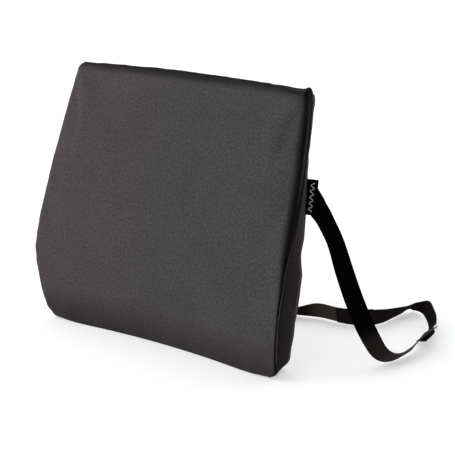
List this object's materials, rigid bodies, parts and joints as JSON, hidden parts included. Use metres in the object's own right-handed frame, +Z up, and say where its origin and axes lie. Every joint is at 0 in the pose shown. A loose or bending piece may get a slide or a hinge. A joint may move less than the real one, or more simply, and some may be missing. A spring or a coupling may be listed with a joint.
{
  "type": "lumbar support cushion",
  "caption": "Wedge-shaped lumbar cushion with a foam core in a zipped fabric cover and a two-part webbing strap that closes behind a chair's backrest.",
  "frame": {"origin": "on the flat bottom strip that the cushion stands on, midway between its left and right sides", "axes": "+Z up from the bottom strip to the top edge; -Y out of the front that the user's back leans on, so +Y points to the chair and the strap; +X to the right as seen from the front"},
  "size_m": [0.46, 0.3067, 0.323],
  "materials": {
    "foam": "matte open-cell polyurethane foam",
    "front_fabric": "fine knitted mesh fabric, matte",
    "side_fabric": "smooth woven fabric, slight sheen",
    "back_fabric": "woven fabric, matte",
    "zip_tape": "herringbone tape, matte",
    "zip_teeth": "nylon, satin",
    "zip_metal": "black enamel on die-cast zinc",
    "label": "tight satin weave",
    "webbing": "polyester webbing, dull",
    "closure_tape": "hook and loop tape, dull",
    "thread": "polyester thread"
  },
  "bodies": {
    "cushion": {"foam_core": "foam", "front_panel": "front_fabric", "gusset_right": "side_fabric", "gusset_left": "side_fabric", "gusset_top": "side_fabric", "gusset_bottom": "side_fabric", "back_panel_upper": "back_fabric", "back_panel_lower": "back_fabric", "zip_tape_upper": "zip_tape", "zip_tape_lower": "zip_tape", "zip_teeth_upper": "zip_teeth", "zip_teeth_lower": "zip_teeth", "zip_stop_right": "zip_metal", "zip_stop_left": "zip_metal", "woven_label": "label", "strap_root_right": "webbing", "strap_root_left": "webbing"},
    "zip_slider": {"zip_slider": "zip_metal"},
    "zip_pull": {"zip_pull": "zip_metal"},
    "strap_right": {"strap_right_webbing": "webbing", "strap_right_loop_tape": "closure_tape", "strap_right_stitching": "thread"},
    "strap_left": {"strap_left_webbing": "webbing", "strap_left_hook_tape": "closure_tape", "strap_left_stitching": "thread"}
  },
  "joints": [
    {"name": "zip_slide", "type": "slide", "parent": "cushion", "child": "zip_slider", "axis": [-1, 0, 0], "range_m": [0, 0.31]},
    {"name": "zip_pull_flip", "type": "hinge", "parent": "zip_slider", "child": "zip_pull", "pos_m": [0.156, 0.0179, 0.033], "axis": [0, 0, 1], "range_deg": [-165, 0]},
    {"name": "strap_right_swing", "type": "hinge", "parent": "cushion", "child": "strap_right", "pos_m": [0.1805, 0.037, 0.2], "axis": [0, 0, 1], "range_deg": [0, 12]},
    {"name": "strap_left_swing", "type": "hinge", "parent": "cushion", "child": "strap_left", "pos_m": [-0.1803, 0.0393, 0.2], "axis": [0, 0, 1], "range_deg": [0, 60]}
  ]
}
